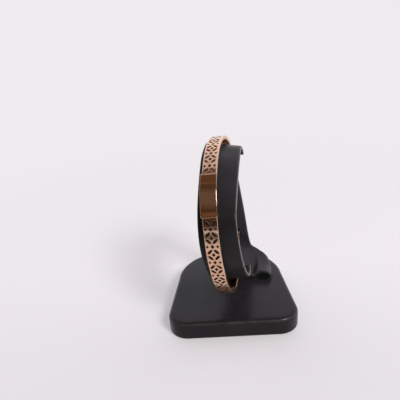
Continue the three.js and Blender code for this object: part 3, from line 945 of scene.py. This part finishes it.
class BANGLE_OT_stage(bpy.types.Operator):
    """Builds the floor, the soft light and the camera"""

    bl_idname = "bangle.stage"
    bl_label = "Stage"

    def execute(self, context):
        studio = context.scene.bangle_studio
        backdrop = tuple(studio.floor)
        self.add_floor(backdrop)
        self.add_world(context.scene, backdrop, tuple(studio.room))
        self.add_key_light(context.scene)
        self.add_camera(context.scene, studio)
        context.scene.view_settings.view_transform = "Standard"
        return {"FINISHED"}

    def add_floor(self, backdrop):
        """A flat disc, as rings of shrinking radius, that fades into the backdrop away from the stand."""
        turns = np.linspace(0, 2 * math.pi, 96, endpoint=False)
        radii = FLOOR_RADIUS * np.linspace(1, 0.02, 12)[:, None]
        level = np.full((len(radii), len(turns)), FLOOR_LEVEL)
        points, faces = loft(np.stack([radii * np.cos(turns), radii * np.sin(turns), level], -1))
        *rings, _, middle = faces
        nodes = Finish("studio_floor")
        _, depth, _ = nodes.split(nodes.place)
        # Painted shade: the card and its glow darken toward the front
        nearness = nodes.ramp(depth, 0.03, -0.12)
        card = nodes.mix(nearness, FLOOR_CARD, darker(FLOOR_CARD, FLOOR_FRONT_SHADE))
        nodes.set_shader(Base_Color=card, Roughness=0.9, Specular_IOR_Level=0)
        # Far in front it is dark, but for what the camera sees itself
        far_front = nodes.ramp(depth, -0.18, -0.3)
        seen = nodes.add("ShaderNodeLightPath").outputs["Is Camera Ray"]
        dimmed = nodes.work_out("SUBTRACT", far_front, seen, use_clamp=True)
        graded = nodes.mix(nearness, backdrop, darker(backdrop, FLOOR_FRONT_SHADE))
        glow = nodes.add("ShaderNodeEmission")
        nodes.feed(nodes.mix(dimmed, graded, FLOOR_DARK), glow.inputs["Color"])
        fade = nodes.add("ShaderNodeMixShader")
        away = nodes.ramp(nodes.distance((0, 0, 0)), 0.05, 0.3, to_low=0.34)
        nodes.feed(away, fade.inputs["Fac"])
        nodes.feed(nodes.shader.outputs["BSDF"], fade.inputs[1])
        nodes.feed(glow.outputs["Emission"], fade.inputs[2])
        nodes.feed(fade.outputs["Shader"], nodes.tree.nodes["Material Output"].inputs["Surface"])
        floor = add_mesh("studio_floor", points, [*rings, middle], nodes.material)

    def add_world(self, scene, backdrop, room):
        """A bright soft surround with a dim warm stretch before the object, above the horizon. Only the
        plain backdrop is seen directly."""
        scene.world = bpy.data.worlds.new("studio_world")
        scene.world.use_nodes = True
        nodes = Nodes(scene.world.node_tree)
        _, depth, height = nodes.split(nodes.add("ShaderNodeTexCoord").outputs["Generated"])
        shades = nodes.add("ShaderNodeValToRGB")
        nodes.feed(height, shades.inputs["Fac"])
        while len(shades.color_ramp.elements) < len(ROOM_SHADES):
            shades.color_ramp.elements.new(0.5)
        grey = sum(room) / 3
        for element, (place, light, warmth) in zip(shades.color_ramp.elements, ROOM_SHADES):
            element.position = place
            element.color = (*(light * (grey + warmth * (c - grey)) for c in room), 1)
        surround = nodes.mix(nodes.ramp(height, 0.6, 0.92), WALLS, CEILING)
        in_front = nodes.ramp(depth, 0.12, 0.0)
        above = nodes.ramp(height, 0.0, 0.05)
        dim = nodes.work_out("MULTIPLY", in_front, above)
        light = nodes.mix(dim, surround, shades.outputs["Color"])
        seen = nodes.add("ShaderNodeLightPath").outputs["Is Camera Ray"]
        nodes.feed(nodes.mix(seen, light, backdrop), nodes.tree.nodes["Background"].inputs["Color"])

    def add_key_light(self, scene):
        """A soft round lamp that looks at the middle of the object."""
        lamp = bpy.data.lights.new("key", "AREA")
        lamp.shape = "DISK"
        lamp.size = KEY_SIZE
        lamp.energy = KEY_POWER
        light = bpy.data.objects.new("key", lamp)
        light.location = KEY_PLACE
        from_aim = light.location.copy()
        from_aim.z -= KEY_AIM
        light.rotation_euler = from_aim.to_track_quat("Z", "Y").to_euler()
        scene.collection.objects.link(light)

    def add_camera(self, scene, studio):
        """The camera, where the studio's properties put it."""
        data = bpy.data.cameras.new("camera")
        data.lens, data.sensor_width = studio.lens, SENSOR_WIDTH
        data.clip_start, data.clip_end = 0.005, 10
        camera = bpy.data.objects.new("camera", data)
        camera.location = [c * MM for c in studio.camera_place]
        camera.rotation_euler = studio.camera_turn
        scene.collection.objects.link(camera)
        scene.camera = camera


# ---- add-on ----------------------------------------------------------------------------------


GROUPS = {
    "bangle_placement": BanglePlacement,
    "bangle_sizes": BangleSizes,
    "stand_sizes": StandSizes,
    "bangle_colours": BangleColours,
    "bangle_studio": BangleStudio,
}
OPERATORS = [
    BANGLE_OT_base,
    BANGLE_OT_support,
    BANGLE_OT_collar,
    BANGLE_OT_front,
    BANGLE_OT_back,
    BANGLE_OT_plates,
    BANGLE_OT_plaque,
    BANGLE_OT_stage,
]


class BANGLE_PT_panel(bpy.types.Panel):
    """Lists the pieces and their sizes"""

    bl_idname = "BANGLE_PT_panel"
    bl_label = "Bangle"
    bl_space_type = "VIEW_3D"
    bl_region_type = "UI"
    bl_category = "Bangle"

    def draw(self, context):
        """A button for each operator, and under them a box of sizes or colours for each group."""
        for operator in OPERATORS:
            self.layout.operator(operator.bl_idname)
        for name, group in GROUPS.items():
            box = self.layout.box()
            for field in group.__annotations__:
                box.prop(getattr(context.scene, name), field)


def register():
    """Adds the classes, and a pointer to each group of properties on the scene."""
    for cls in (*GROUPS.values(), *OPERATORS, BANGLE_PT_panel):
        bpy.utils.register_class(cls)
    for name, group in GROUPS.items():
        setattr(bpy.types.Scene, name, bpy.props.PointerProperty(type=group))


def unregister():
    """Takes away what register() added."""
    for name in GROUPS:
        delattr(bpy.types.Scene, name)
    for cls in reversed((*GROUPS.values(), *OPERATORS, BANGLE_PT_panel)):
        bpy.utils.unregister_class(cls)


def main():
    """Registers the add-on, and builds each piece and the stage."""
    register()
    bpy.ops.bangle.base()
    bpy.ops.bangle.support()
    bpy.ops.bangle.collar()
    bpy.ops.bangle.front()
    bpy.ops.bangle.back()
    bpy.ops.bangle.plates()
    bpy.ops.bangle.plaque()
    bpy.ops.bangle.stage()


if __name__ == "__main__":
    main()
